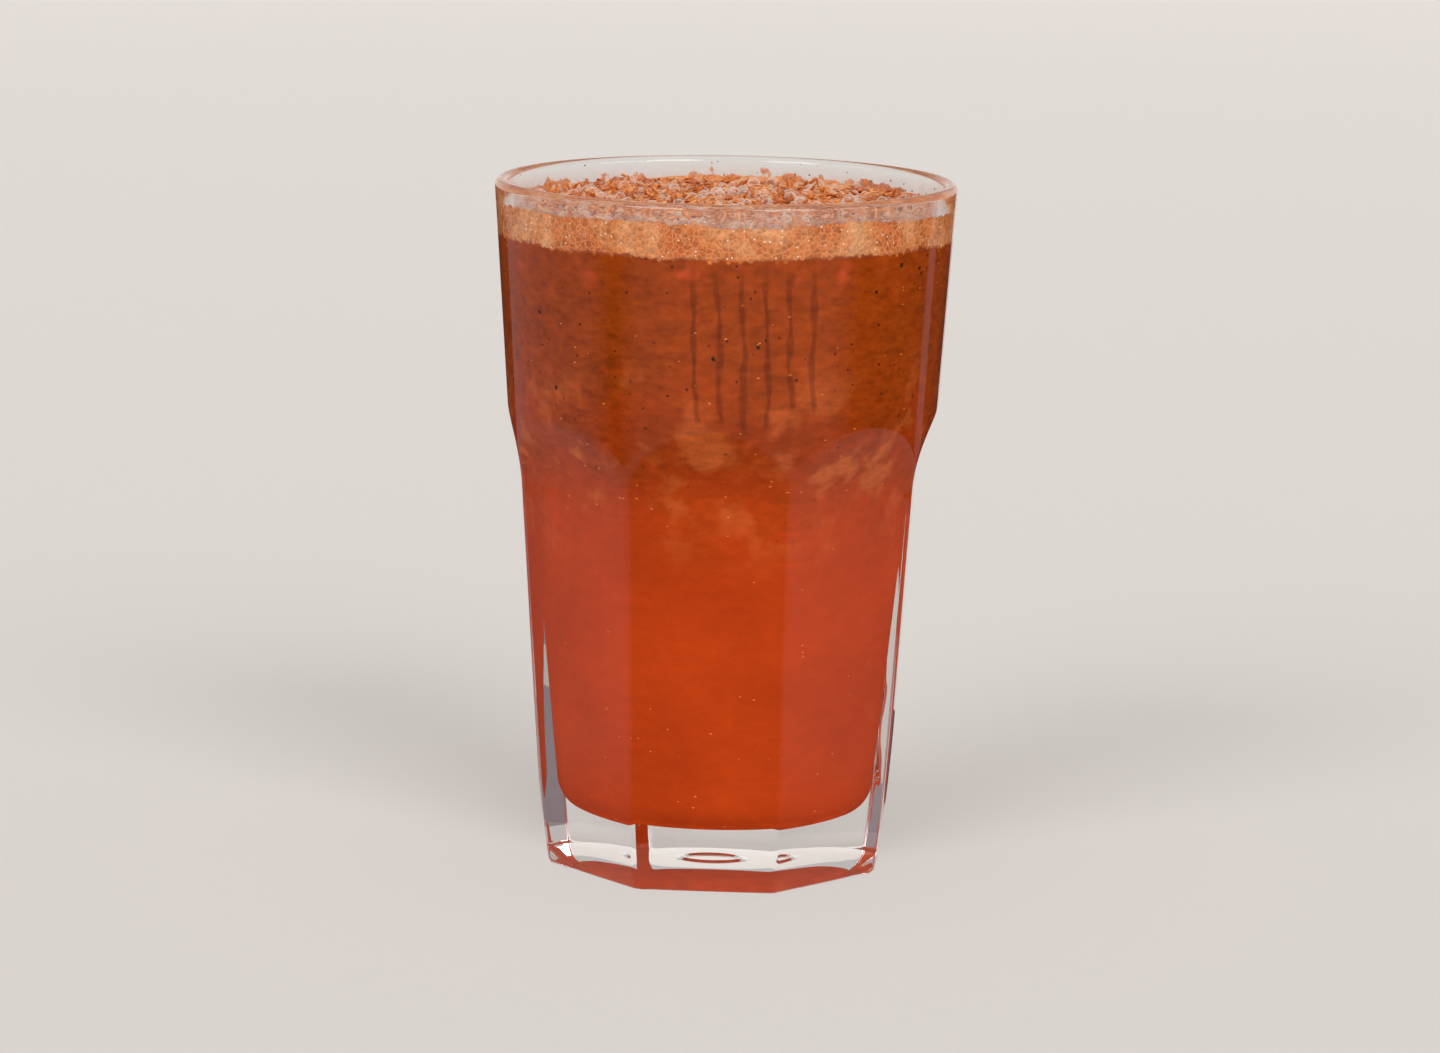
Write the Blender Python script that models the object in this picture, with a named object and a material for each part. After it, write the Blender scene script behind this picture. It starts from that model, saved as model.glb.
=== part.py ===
"""A tall pressed-glass tumbler of red-orange juice, with a darker pulpy layer and a head of froth.

The glass is one turned body with a thick foot, hollow underneath. Eight flats are cut into its lower
part, and each flat ends at the shoulder in a scooped arch. The drink fills it as three solids, one on
the other: the bright juice, the pulpy layer that has risen above it, and the froth with shreds of
pulp and large bubbles lying in it.

Metres, +Z up. The origin is the middle of the foot, where the glass stands. One flat faces -Y.
"""

import math
import random

import bmesh
import bpy
from mathutils import Matrix, Vector, noise

# Outside of the glass
HEIGHT = 0.125
RIM_RADIUS = 0.04185
TAPER = 0.066  # how much the radius shrinks for each unit of depth below the rim
FOOT_TUCK = 0.0011  # how far the side draws in further at the foot
FOOT_TUCK_HEIGHT = 0.008
LIP_ROUND = 0.0013
FOOT_CHAMFER = 0.0007

# The flats, and the scoop that ends each of them at the shoulder
FLAT_COUNT = 8
FLAT_SHARE = 0.918  # distance of a flat from the axis, as a share of the round body's radius
SCOOP_START = 0.0710
SCOOP_RADIUS = 0.027
SCOOP_REACH = 0.8  # how much of the scoop's arc is made, as a share of its radius
SHOULDER_TOP = 0.0850  # just above the arches
EDGE_SOFTENING = 0.0008  # taken off each flat beside the edge between two of them
TOOL_PAST = 0.002  # how far the tool that cuts the flats reaches past the glass
TOOL_CLEAR = 1.4  # the tool's radius above the arches, as a share of the rim's

# Inside of the glass
CAVITY_FLOOR = 0.0103
CAVITY_CORNER = 0.0050
CAVITY_LOW_RADIUS = 0.0224  # at the top of the rounded corner
CAVITY_LOW_TAPER = 0.098  # how much the radius grows for each unit of height, below the shoulder
CAVITY_RIM_RADIUS = 0.0393
CAVITY_TOP_TAPER = 0.075
STEP_LOW = 0.0700  # between these two heights the inside widens with the shoulder
STEP_HIGH = 0.0895

# Underside of the glass: the flat ring that it stands on, and a hollow with a plain round mould mark
RING_DISTANCE = 0.0278  # from the axis to each side of the eight-sided hollow
RING_CORNER = 0.004  # how far the rounding of its corners reaches
HOLLOW_DEPTH = 0.0028
HOLLOW_POWER = 4  # a dish at 2, and flatter in the middle above that
MARK_RADIUS = 0.0053
MARK_WIDTH = 0.0012
MARK_DEPTH = 0.0003  # how deep the mark is pressed into the glass

# The drink
GAP = 0.0003
LAYER_LEVEL = 0.0660
LAYER_WAVE = 0.0030
LAYER_LUMPS = (55, 120)  # coarse and fine, each in lumps to the metre
LAYER_FINE_SHARE = 0.5
FROTH_BOTTOM = 0.1152
FROTH_TOP = 0.1202
FROTH_CLIMB = 0.0010  # how far the froth rises where it clings to the wall
FROTH_CLIMB_WIDTH = 0.0060
FROTH_CLIMB_FALL = 3  # how fast the climb dies away over that width
FROTH_BUMP = 0.00018
FROTH_LUMPS = (420, 900)
FROTH_FINE_SHARE = 0.6

# Shreds and bubbles on the froth
SEED = 7
TURN_SCATTER = 0.2  # radians either side of a topping's place on the spiral
SHRED_COUNT = 58
SHRED_LENGTH = (0.0030, 0.0062)
SHRED_WIDTH = (0.0006, 0.0010)
SHRED_ARCH = (0.0, 0.0003)
SHRED_THICKNESS = 0.00045
SHRED_END_SHARE = 0.55  # width of a shred's ends, as a share of its middle
SHRED_SINK = 0.6  # depth in the froth, as a share of the thickness
SHRED_MARGIN = 0.0042  # kept free at the wall
BUBBLE_COUNT = 26
BUBBLE_RADIUS = (0.0008, 0.0015)
BUBBLE_SINK = 0.65  # depth of a bubble's middle in the froth, as a share of its radius
BUBBLE_MARGIN = 0.0030

# Fineness
TURN_STEPS = 80
DRINK_STEPS = 48
HOLLOW_STEPS = 8
FLAT_LEVELS = 7
SCOOP_LEVELS = 11
ARCH_LEVELS = 4
WALL_LEVELS = 5
INSIDE_LEVELS = 3
STEP_LEVELS = 8
CORNER_STEPS = 6
LIP_STEPS = 8
JUICE_LEVELS = 5
PULP_LEVELS = 3
LAYER_RINGS = 8
FROTH_RINGS = 9
RING_CROWDING = 1.2  # above 1, the rings of a disc stand closer together at its edge
SHRED_SECTIONS = 4
SAME_LEVEL = 1e-6
SHARP_ANGLE = math.radians(15)

GLASS_COLOUR = (0.93, 0.94, 0.93, 1.0)
JUICE_COLOUR = (0.56, 0.07, 0.014, 1.0)
PULP_COLOUR = (0.31, 0.065, 0.013, 1.0)
FROTH_COLOUR = (0.62, 0.30, 0.16, 1.0)


def body_radius(z):
    """Radius of the round outside at height z: a straight taper, drawn in towards the foot."""
    return RIM_RADIUS - TAPER * (HEIGHT - z) - FOOT_TUCK * math.exp(-z / FOOT_TUCK_HEIGHT)


def flat_distance(z):
    """Distance of a flat from the axis at height z: a share of the body, then the scoop's arc."""
    straight = FLAT_SHARE * body_radius(z)
    rise = min(max(z - SCOOP_START, 0.0), SCOOP_REACH * SCOOP_RADIUS)
    return straight + SCOOP_RADIUS - math.sqrt(SCOOP_RADIUS**2 - rise**2)


def cavity_radius(z):
    """Radius of the smooth inside at height z: two cones, with a soft step between them."""
    low = CAVITY_LOW_RADIUS + CAVITY_LOW_TAPER * (z - CAVITY_FLOOR - CAVITY_CORNER)
    high = CAVITY_RIM_RADIUS - CAVITY_TOP_TAPER * (HEIGHT - z)
    t = min(max((z - STEP_LOW) / (STEP_HIGH - STEP_LOW), 0.0), 1.0)
    return low + (high - low) * t * t * (3 - 2 * t)


def hollow_height(distance):
    """Height of the underside inside the ring that the glass stands on."""
    return HOLLOW_DEPTH * (1 - (distance / RING_DISTANCE) ** HOLLOW_POWER)


def ring_radius(turn):
    """Radius of the eight-sided hollow's edge at an angle round the glass, with rounded corners."""
    step = 2 * math.pi / FLAT_COUNT
    off = (turn + step / 2) % step - step / 2
    near, far = (RING_DISTANCE / math.cos(angle) for angle in (off, step - abs(off)))
    share = max(RING_CORNER - abs(far - near), 0.0) / RING_CORNER
    return min(near, far) - share * share * RING_CORNER / 4


def arc_points(centre_r, centre_z, radius, first, last, steps):
    """Points of an arc about (centre_r, centre_z), from one angle to another in degrees."""
    angles = [math.radians(first + (last - first) * i / steps) for i in range(steps + 1)]
    return [(centre_r + radius * math.cos(a), centre_z + radius * math.sin(a)) for a in angles]


def spread(low, high, count):
    """Evenly spaced values from low to high, both included."""
    return [low + (high - low) * i / (count - 1) for i in range(count)]


def material(name, colour, roughness, transmission=0.0):
    """A named material of one colour, clear where it lets light through."""
    made = bpy.data.materials.new(name)
    made.use_nodes = True
    shader = made.node_tree.nodes["Principled BSDF"]
    shader.inputs["Base Color"].default_value = colour
    shader.inputs["Roughness"].default_value = roughness
    shader.inputs["Metallic"].default_value = 0.0
    shader.inputs["Transmission Weight"].default_value = transmission
    made.diffuse_color = colour
    return made


def add_object(name, shape, finish=None):
    """A bmesh as a named object, shaded smooth except at its real edges."""
    mesh = bpy.data.meshes.new(name)
    shape.to_mesh(mesh)
    shape.free()
    made = bpy.data.objects.new(name, mesh)
    bpy.context.collection.objects.link(made)
    if finish:
        mesh.materials.append(finish)
    mesh.shade_smooth()
    mesh.set_sharp_from_angle(angle=SHARP_ANGLE)
    return made


def skinned(profile, outline_at):
    """A closed shape: (size, z) points from the axis round the outside and back to the axis.

    outline_at gives the outline for one size. Each four-sided patch is split the same way, so that
    two shapes that meet in an uneven surface, both running inwards there, match face for face.
    """
    shape = bmesh.new()
    count = len(outline_at(1.0))
    rings = []
    for size, z in profile:
        if size == 0.0:
            rings.append([shape.verts.new((0.0, 0.0, z))] * count)
        else:
            rings.append([shape.verts.new((x, y, z)) for x, y in outline_at(size)])
    for low, high in zip(rings, rings[1:]):
        for i in range(count):
            j = (i + 1) % count
            for corners in ((low[i], low[j], high[j]), (low[i], high[j], high[i])):
                if len(set(corners)) == 3:
                    shape.faces.new(corners)
    bmesh.ops.recalc_face_normals(shape, faces=shape.faces)
    return shape


def turned(profile, steps):
    """A closed round shape from its (radius, z) section."""
    turns = [2 * math.pi * i / steps for i in range(steps)]
    return skinned(profile, lambda radius: [(radius * math.cos(a), radius * math.sin(a)) for a in turns])


def softened_octagon(distance):
    """Flats at one distance from the axis, with a narrow strip in place of each edge between two."""
    half = distance * math.tan(math.pi / FLAT_COUNT) - EDGE_SOFTENING
    points = []
    for i in range(FLAT_COUNT):
        facing = Matrix.Rotation(2 * math.pi * i / FLAT_COUNT, 2)
        points += [tuple(facing @ Vector((distance, side))) for side in (-half, half)]
    return points


def tumbler_profile():
    """The glass's section, from the middle of its underside out, up, over the lip and down inside."""
    points = [(0.0, hollow_height(0.0))]
    for off, pressed in ((-MARK_WIDTH / 2, 0.0), (0.0, MARK_DEPTH), (MARK_WIDTH / 2, 0.0)):
        points += [(MARK_RADIUS + off, hollow_height(MARK_RADIUS + off) + pressed)]
    beyond = spread(MARK_RADIUS + MARK_WIDTH / 2, RING_DISTANCE, HOLLOW_STEPS)[1:]
    points += [(r, hollow_height(r)) for r in beyond]
    points += [(body_radius(0.0) - FOOT_CHAMFER, 0.0)]
    lip_z = HEIGHT - LIP_ROUND
    levels = spread(FOOT_CHAMFER, SCOOP_START, FLAT_LEVELS)
    levels += spread(SCOOP_START, SHOULDER_TOP, ARCH_LEVELS)[1:]
    levels += spread(SHOULDER_TOP, lip_z, WALL_LEVELS)[1:]
    points += [(body_radius(z), z) for z in levels]
    lip_r = (body_radius(lip_z) + cavity_radius(lip_z)) / 2
    half = (body_radius(lip_z) - cavity_radius(lip_z)) / 2
    rounded = arc_points(0.0, 0.0, 1.0, 0, 180, LIP_STEPS)[1:-1]
    points += [(lip_r + half * x, lip_z + LIP_ROUND * y) for x, y in rounded]
    corner_z = CAVITY_FLOOR + CAVITY_CORNER
    inside = spread(lip_z, STEP_HIGH, INSIDE_LEVELS) + spread(STEP_HIGH, STEP_LOW, STEP_LEVELS)[1:]
    inside += spread(STEP_LOW, corner_z, INSIDE_LEVELS)[1:]
    points += [(cavity_radius(z), z) for z in inside]
    corner_r = CAVITY_LOW_RADIUS - CAVITY_CORNER
    points += arc_points(corner_r, corner_z, CAVITY_CORNER, 0, -90, CORNER_STEPS)[1:]
    points += [(0.0, CAVITY_FLOOR)]
    return points


def flats_profile():
    """Section of the eight-sided tool that the glass is kept inside, clear of it above the arches."""
    clear = TOOL_CLEAR * RIM_RADIUS
    heights = spread(FOOT_CHAMFER, SCOOP_START, FLAT_LEVELS)
    heights += spread(SCOOP_START, SCOOP_START + SCOOP_REACH * SCOOP_RADIUS, SCOOP_LEVELS + 1)[1:]
    foot = flat_distance(0.0) - FOOT_CHAMFER
    points = [(0.0, -TOOL_PAST), (foot - TOOL_PAST, -TOOL_PAST), (foot, 0.0)]
    points += [(flat_distance(z), z) for z in heights]
    points += [(clear, heights[-1] + TOOL_PAST), (clear, HEIGHT + TOOL_PAST), (0.0, HEIGHT + TOOL_PAST)]
    return points


def build_tumbler():
    """The turned glass, its hollow widened to eight sides, kept inside the tool that leaves the flats."""
    finish = material("clear pressed glass", GLASS_COLOUR, 0.03, 1.0)
    shape = turned(tumbler_profile(), TURN_STEPS)
    for vert in shape.verts:
        radius = math.hypot(vert.co.x, vert.co.y)
        if vert.co.z < HOLLOW_DEPTH + MARK_DEPTH and radius < RING_DISTANCE + SAME_LEVEL:
            widened = ring_radius(math.atan2(vert.co.y, vert.co.x)) / RING_DISTANCE - 1
            outward = 1 + widened * (radius / RING_DISTANCE) ** 2
            vert.co.x *= outward
            vert.co.y *= outward
    tumbler = add_object("tumbler", shape, finish)
    tool = add_object("flats_tool", skinned(flats_profile(), softened_octagon))
    tool.hide_render = True
    tool.display_type = "WIRE"
    cut = tumbler.modifiers.new("eight flats", "BOOLEAN")
    cut.operation = "INTERSECT"
    cut.solver = "EXACT"
    cut.object = tool


def lumps(x, y, scales, fine_share, slice_at):
    """Smooth seeded unevenness over a level surface: coarse lumps with finer ones on them."""
    coarse = noise.noise(Vector((x, y, slice_at[0])) * scales[0])
    return coarse + fine_share * noise.noise(Vector((x, y, slice_at[1])) * scales[1])


def layer_height(x, y):
    """The uneven level where the pulpy layer meets the juice, in metres."""
    return LAYER_LEVEL + LAYER_WAVE * lumps(x, y, LAYER_LUMPS, LAYER_FINE_SHARE, (0.31, 0.77))


def froth_height(x, y):
    """The froth's surface: nearly level, with small lumps, and climbing a little at the wall."""
    inward = (cavity_radius(FROTH_TOP) - math.hypot(x, y)) / FROTH_CLIMB_WIDTH
    climb = FROTH_CLIMB * math.exp(-FROTH_CLIMB_FALL * max(inward, 0.0))
    return FROTH_TOP + climb + FROTH_BUMP * lumps(x, y, FROTH_LUMPS, FROTH_FINE_SHARE, (0.13, 0.59))


def disc_rings(radius, z, count):
    """Ring points across a flat top or bottom, from its edge to the axis."""
    return [(radius * (1 - (i / count) ** RING_CROWDING), z) for i in range(count)] + [(0.0, z)]


def lift(shape, level, height_at, shift=0.0):
    """Moves the points at one level to an uneven surface, and keeps them clear of the tapered wall."""
    for vert in shape.verts:
        if abs(vert.co.z - level) < SAME_LEVEL:
            vert.co.z = height_at(vert.co.x, vert.co.y) + shift
            room = cavity_radius(vert.co.z) - GAP
            inward = min(1.0, room / max(math.hypot(vert.co.x, vert.co.y), room))
            vert.co.x *= inward
            vert.co.y *= inward


def build_juice():
    """The bright juice, from the rounded bottom of the cavity up to the pulpy layer."""
    corner_z = CAVITY_FLOOR + CAVITY_CORNER
    corner_r = CAVITY_LOW_RADIUS - CAVITY_CORNER
    profile = [(0.0, CAVITY_FLOOR + GAP)]
    profile += arc_points(corner_r, corner_z, CAVITY_CORNER - GAP, -90, 0, CORNER_STEPS)
    profile += [(cavity_radius(z) - GAP, z) for z in spread(corner_z, LAYER_LEVEL, JUICE_LEVELS)[1:-1]]
    profile += disc_rings(cavity_radius(LAYER_LEVEL) - GAP, LAYER_LEVEL, LAYER_RINGS)
    shape = turned(profile, DRINK_STEPS)
    lift(shape, LAYER_LEVEL, layer_height, -GAP)
    add_object("juice", shape, material("red-orange juice", JUICE_COLOUR, 0.15))


def build_pulp_layer():
    """The darker juice, thick with fine pulp and specks, between the bright juice and the froth."""
    profile = [(0.0, FROTH_BOTTOM - GAP)]
    levels = spread(FROTH_BOTTOM - GAP, STEP_HIGH, PULP_LEVELS) + spread(STEP_HIGH, STEP_LOW, STEP_LEVELS)[1:]
    profile += [(cavity_radius(z) - GAP, z) for z in levels]
    profile += disc_rings(cavity_radius(LAYER_LEVEL) - GAP, LAYER_LEVEL, LAYER_RINGS)
    shape = turned(profile, DRINK_STEPS)
    lift(shape, LAYER_LEVEL, layer_height)
    add_object("pulp_layer", shape, material("brown-orange pulpy juice", PULP_COLOUR, 0.25))


def shred(length, width, arch):
    """A thin arched strip along X, its ends lower and narrower than its middle."""
    shape = bmesh.new()
    sections = []
    last = SHRED_SECTIONS - 1
    for i in range(SHRED_SECTIONS):
        t = i / last
        along = (t - 0.5) * length
        rise = arch * (1 - (2 * t - 1) ** 2)
        half = width / 2 * (1.0 if 0 < i < last else SHRED_END_SHARE)
        corners = [(-half, 0.0), (half, 0.0), (half, SHRED_THICKNESS), (-half, SHRED_THICKNESS)]
        sections.append([shape.verts.new((along, y, rise + z)) for y, z in corners])
    for a, b in zip(sections, sections[1:]):
        for k in range(4):
            shape.faces.new([a[k], a[(k + 1) % 4], b[(k + 1) % 4], b[k]])
    shape.faces.new(sections[0][::-1])
    shape.faces.new(sections[-1])
    bmesh.ops.recalc_face_normals(shape, faces=shape.faces)
    return shape


def spiral_place(i, count, reach, draw):
    """The i-th of evenly spread places on a disc, with a little seeded scatter."""
    radius = reach * math.sqrt((i + 0.5) / count)
    angle = i * math.pi * (3 - math.sqrt(5)) + draw.uniform(-TURN_SCATTER, TURN_SCATTER)
    return radius * math.cos(angle), radius * math.sin(angle)


def keep_main_skin(piece):
    """Drops the loose scraps and the skins of sealed hollows that joining shapes can leave."""
    shape = bmesh.new()
    shape.from_mesh(piece.data)
    left, skins = set(shape.verts), []
    while left:
        skin, edge = set(), {next(iter(left))}
        while edge:
            skin |= edge
            edge = {e.other_vert(v) for v in edge for e in v.link_edges} - skin
        left -= skin
        skins.append(skin)
    main = max(skins, key=len)
    bmesh.ops.delete(shape, geom=[v for v in shape.verts if v not in main], context="VERTS")
    shape.to_mesh(piece.data)
    shape.free()


def build_froth():
    """The froth head, with the shreds of pulp and the large bubbles that lie in it fused on."""
    finish = material("peach froth with pulp", FROTH_COLOUR, 0.5)
    profile = [(0.0, FROTH_BOTTOM), (cavity_radius(FROTH_BOTTOM) - GAP, FROTH_BOTTOM)]
    profile += disc_rings(cavity_radius(FROTH_TOP + FROTH_CLIMB) - GAP, FROTH_TOP, FROTH_RINGS)
    shape = turned(profile, DRINK_STEPS)
    lift(shape, FROTH_TOP, froth_height)
    froth = add_object("froth", shape, finish)

    draw = random.Random(SEED)
    toppings = bpy.data.collections.new("toppings")
    bpy.context.scene.collection.children.link(toppings)
    for i in range(SHRED_COUNT):
        x, y = spiral_place(i, SHRED_COUNT, CAVITY_RIM_RADIUS - SHRED_MARGIN, draw)
        strip = shred(draw.uniform(*SHRED_LENGTH), draw.uniform(*SHRED_WIDTH), draw.uniform(*SHRED_ARCH))
        lie = froth_height(x, y) - SHRED_SINK * SHRED_THICKNESS
        turn = Matrix.Rotation(draw.uniform(0, math.pi), 4, "Z")
        bmesh.ops.transform(strip, matrix=Matrix.Translation((x, y, lie)) @ turn, verts=strip.verts)
        toppings.objects.link(add_object(f"shred_{i}", strip, finish))
    for i in range(BUBBLE_COUNT):
        x, y = spiral_place(i, BUBBLE_COUNT, CAVITY_RIM_RADIUS - BUBBLE_MARGIN, draw)
        radius = draw.uniform(*BUBBLE_RADIUS)
        dome = bmesh.new()
        place = Matrix.Translation((x, y, froth_height(x, y) - BUBBLE_SINK * radius))
        bmesh.ops.create_icosphere(dome, subdivisions=1, radius=radius, matrix=place)
        toppings.objects.link(add_object(f"bubble_{i}", dome, finish))

    join = froth.modifiers.new("toppings", "BOOLEAN")
    join.operation = "UNION"
    join.solver = "EXACT"
    join.operand_type = "COLLECTION"
    join.collection = toppings
    bpy.context.view_layer.objects.active = froth
    bpy.ops.object.modifier_apply(modifier=join.name)
    for topping in list(toppings.objects):
        bpy.data.objects.remove(topping)
    bpy.data.collections.remove(toppings)
    keep_main_skin(froth)


for old in list(bpy.data.objects):
    bpy.data.objects.remove(old)
build_tumbler()
build_juice()
build_pulp_layer()
build_froth()
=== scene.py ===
"""A tall pressed-glass tumbler of red-orange juice with a pulpy upper layer and a head of froth.

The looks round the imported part, in the order in which the drink comes together: the glass, the juice,
the pulpy layer, the froth, the shreds and bubbles on it and the dried film above it. Then come the
table, the cards that the glass mirrors, the light and the camera.
"""

import math
import random

import bpy
from mathutils import Matrix, Vector, noise


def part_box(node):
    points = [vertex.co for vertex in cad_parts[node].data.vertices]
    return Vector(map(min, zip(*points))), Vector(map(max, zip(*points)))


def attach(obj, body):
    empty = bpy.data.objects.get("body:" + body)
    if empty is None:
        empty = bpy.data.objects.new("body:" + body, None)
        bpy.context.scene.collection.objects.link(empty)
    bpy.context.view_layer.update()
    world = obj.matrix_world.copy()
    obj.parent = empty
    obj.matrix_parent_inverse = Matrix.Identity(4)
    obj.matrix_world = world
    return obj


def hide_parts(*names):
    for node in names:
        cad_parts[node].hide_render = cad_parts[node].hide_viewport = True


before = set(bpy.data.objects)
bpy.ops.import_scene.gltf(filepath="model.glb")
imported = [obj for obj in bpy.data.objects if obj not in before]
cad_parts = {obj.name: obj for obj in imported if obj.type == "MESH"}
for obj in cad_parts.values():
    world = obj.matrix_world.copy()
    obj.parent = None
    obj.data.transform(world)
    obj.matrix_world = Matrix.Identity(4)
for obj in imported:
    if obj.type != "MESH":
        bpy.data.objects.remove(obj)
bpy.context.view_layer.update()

# The tumbler is one piece of clear soda-lime glass, pressed in a mould. Eight flats run up from its
# thick foot, which is hollow underneath, and each ends in a scooped arch under a plain shoulder.
# Fire-polishing has rounded its edges.
glass_low, glass_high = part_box("tumbler")
HEIGHT = glass_high.z
RIM_RADIUS = 0.04185
TAPER = 0.066
FOOT_TUCK = 0.0011
FOOT_TUCK_HEIGHT = 0.008
FOOT_ROUND = 0.0007
LIP_ROUND = 0.0013
FLAT_COUNT = 8
FLAT_SHARE = 0.918
SCOOP_START = 0.0710
SCOOP_RADIUS = 0.027
SCOOP_REACH = 0.8
ARCHES_LOW = 0.0690
ARCHES_HIGH = 0.0885
EDGE_ROUND = 0.0006
ARCH_ROUND = 0.00045
CAVITY_FLOOR = 0.0103
CAVITY_CORNER = 0.0050
CAVITY_LOW_RADIUS = 0.0224
CAVITY_LOW_TAPER = 0.098
CAVITY_RIM_RADIUS = 0.0393
CAVITY_TOP_TAPER = 0.075
STEP_LOW = 0.0700
STEP_HIGH = 0.0895
RING_DISTANCE = 0.0278
RING_CORNER = 0.004
HOLLOW_DEPTH = 0.0028
HOLLOW_POWER = 4
MARK_RADIUS = 0.0053
MARK_WIDTH = 0.0012
MARK_TOP_HALF = 0.0002
MARK_DEPTH = 0.0003
GLASS_TURNS = 640


def body_radius(z):
    """Radius of the round outside at height z, before the flats are pressed into it."""
    return RIM_RADIUS - TAPER * (HEIGHT - z) - FOOT_TUCK * math.exp(-z / FOOT_TUCK_HEIGHT)


def flat_distance(z):
    """Distance of a flat from the axis at height z, out along its scoop at the top."""
    rise = min(max(z - SCOOP_START, 0.0), SCOOP_REACH * SCOOP_RADIUS)
    return FLAT_SHARE * body_radius(z) + SCOOP_RADIUS - math.sqrt(SCOOP_RADIUS**2 - rise**2)


def cavity_radius(z):
    """Radius of the smooth inside at height z: two cones, with a soft step between them."""
    low = CAVITY_LOW_RADIUS + CAVITY_LOW_TAPER * (z - CAVITY_FLOOR - CAVITY_CORNER)
    high = CAVITY_RIM_RADIUS - CAVITY_TOP_TAPER * (HEIGHT - z)
    t = min(max((z - STEP_LOW) / (STEP_HIGH - STEP_LOW), 0.0), 1.0)
    return low + (high - low) * t * t * (3 - 2 * t)


def hollow_height(distance):
    """Height of the underside inside the eight-sided ring that the glass stands on."""
    return HOLLOW_DEPTH * (1 - (distance / RING_DISTANCE) ** HOLLOW_POWER)


def nearer(a, b, rounding):
    """The smaller of two distances, blended over a short stretch so that the edge is rounded."""
    share = max(rounding - abs(a - b), 0.0) / rounding
    return min(a, b) - share * share * rounding / 4


def eight_sided(distance, turn, rounding):
    """Distance of an eight-sided outline from the axis at an angle round the glass."""
    step = 2 * math.pi / FLAT_COUNT
    off = (turn + step / 2) % step - step / 2
    return nearer(distance / math.cos(off), distance / math.cos(step - abs(off)), rounding)


def pressed_radius(z, turn):
    """Distance of the finished outside from the axis, at height z and an angle round the glass."""
    return nearer(eight_sided(flat_distance(z), turn, EDGE_ROUND), body_radius(z), ARCH_ROUND)


def spread(low, high, count):
    """Evenly spaced values from low to high, both included."""
    return [low + (high - low) * i / (count - 1) for i in range(count)]


def arc(centre_r, centre_z, across, up, first, last, steps):
    """Points of an arc in a section, from one angle to another in degrees."""
    angles = [math.radians(first + (last - first) * i / steps) for i in range(steps + 1)]
    return [(centre_r + across * math.cos(a), centre_z + up * math.sin(a)) for a in angles]


def draw_section(name, points):
    """A section drawn as by hand: a plane merged to one point, then extruded from point to point."""
    bpy.ops.object.select_all(action="DESELECT")
    bpy.ops.mesh.primitive_plane_add(size=0.001)
    piece = bpy.context.object
    piece.name = name
    piece.data.name = name
    bpy.ops.object.mode_set(mode="EDIT")
    bpy.ops.mesh.select_all(action="SELECT")
    bpy.ops.mesh.merge(type="CENTER")
    bpy.ops.transform.translate(value=(points[0][0], 0.0, points[0][1]))
    for (r0, z0), (r1, z1) in zip(points, points[1:]):
        step = (r1 - r0, 0.0, z1 - z0)
        bpy.ops.mesh.extrude_region_move(TRANSFORM_OT_translate={"value": step})
    return piece


def spin_section(steps):
    """Spins the drawn section once round the axis and closes it there, facing out."""
    bpy.ops.mesh.select_all(action="SELECT")
    bpy.ops.mesh.spin(steps=steps, angle=2 * math.pi, center=(0, 0, 0), axis=(0, 0, 1))
    bpy.ops.mesh.select_all(action="SELECT")
    bpy.ops.mesh.remove_doubles(threshold=1e-6)
    bpy.ops.mesh.normals_make_consistent(inside=False)
    bpy.ops.object.mode_set(mode="OBJECT")
    bpy.ops.object.shade_smooth_by_angle(angle=math.radians(40))


mark_top = (MARK_RADIUS - MARK_TOP_HALF, MARK_RADIUS + MARK_TOP_HALF)
underside = [(r, hollow_height(r)) for r in spread(0.0, MARK_RADIUS - MARK_WIDTH / 2, 5)]
underside += [(r, hollow_height(r) + MARK_DEPTH) for r in mark_top]
underside += [(r, hollow_height(r)) for r in spread(MARK_RADIUS + MARK_WIDTH / 2, RING_DISTANCE, 16)]
foot_r = body_radius(0.0) - FOOT_ROUND
foot = [(foot_r - FOOT_ROUND, 0.0)] + arc(foot_r, FOOT_ROUND, FOOT_ROUND, FOOT_ROUND, -90, 0, 5)
lip_z = HEIGHT - LIP_ROUND
levels = spread(FOOT_ROUND, 0.020, 10)[1:] + spread(0.020, ARCHES_LOW, 7)[1:]
levels += spread(ARCHES_LOW, ARCHES_HIGH, 55)[1:] + spread(ARCHES_HIGH, lip_z, 7)[1:]
outside = [(body_radius(z), z) for z in levels]
lip_r = (body_radius(lip_z) + cavity_radius(lip_z)) / 2
lip_half = (body_radius(lip_z) - cavity_radius(lip_z)) / 2
lip = arc(lip_r, lip_z, lip_half, LIP_ROUND, 0, 180, 14)[1:]
corner_z = CAVITY_FLOOR + CAVITY_CORNER
corner_r = CAVITY_LOW_RADIUS - CAVITY_CORNER
inside_levels = spread(lip_z, STEP_HIGH, 6)[1:] + spread(STEP_HIGH, STEP_LOW, 16)[1:]
inside_levels += spread(STEP_LOW, corner_z, 6)[1:]
inside = [(cavity_radius(z), z) for z in inside_levels]
inside += arc(corner_r, corner_z, CAVITY_CORNER, CAVITY_CORNER, 0, -90, 8)[1:]
inside += [(0.0, CAVITY_FLOOR)]
tumbler = draw_section("pressed_tumbler", underside + foot + outside + lip + inside)
spin_section(GLASS_TURNS)
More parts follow.
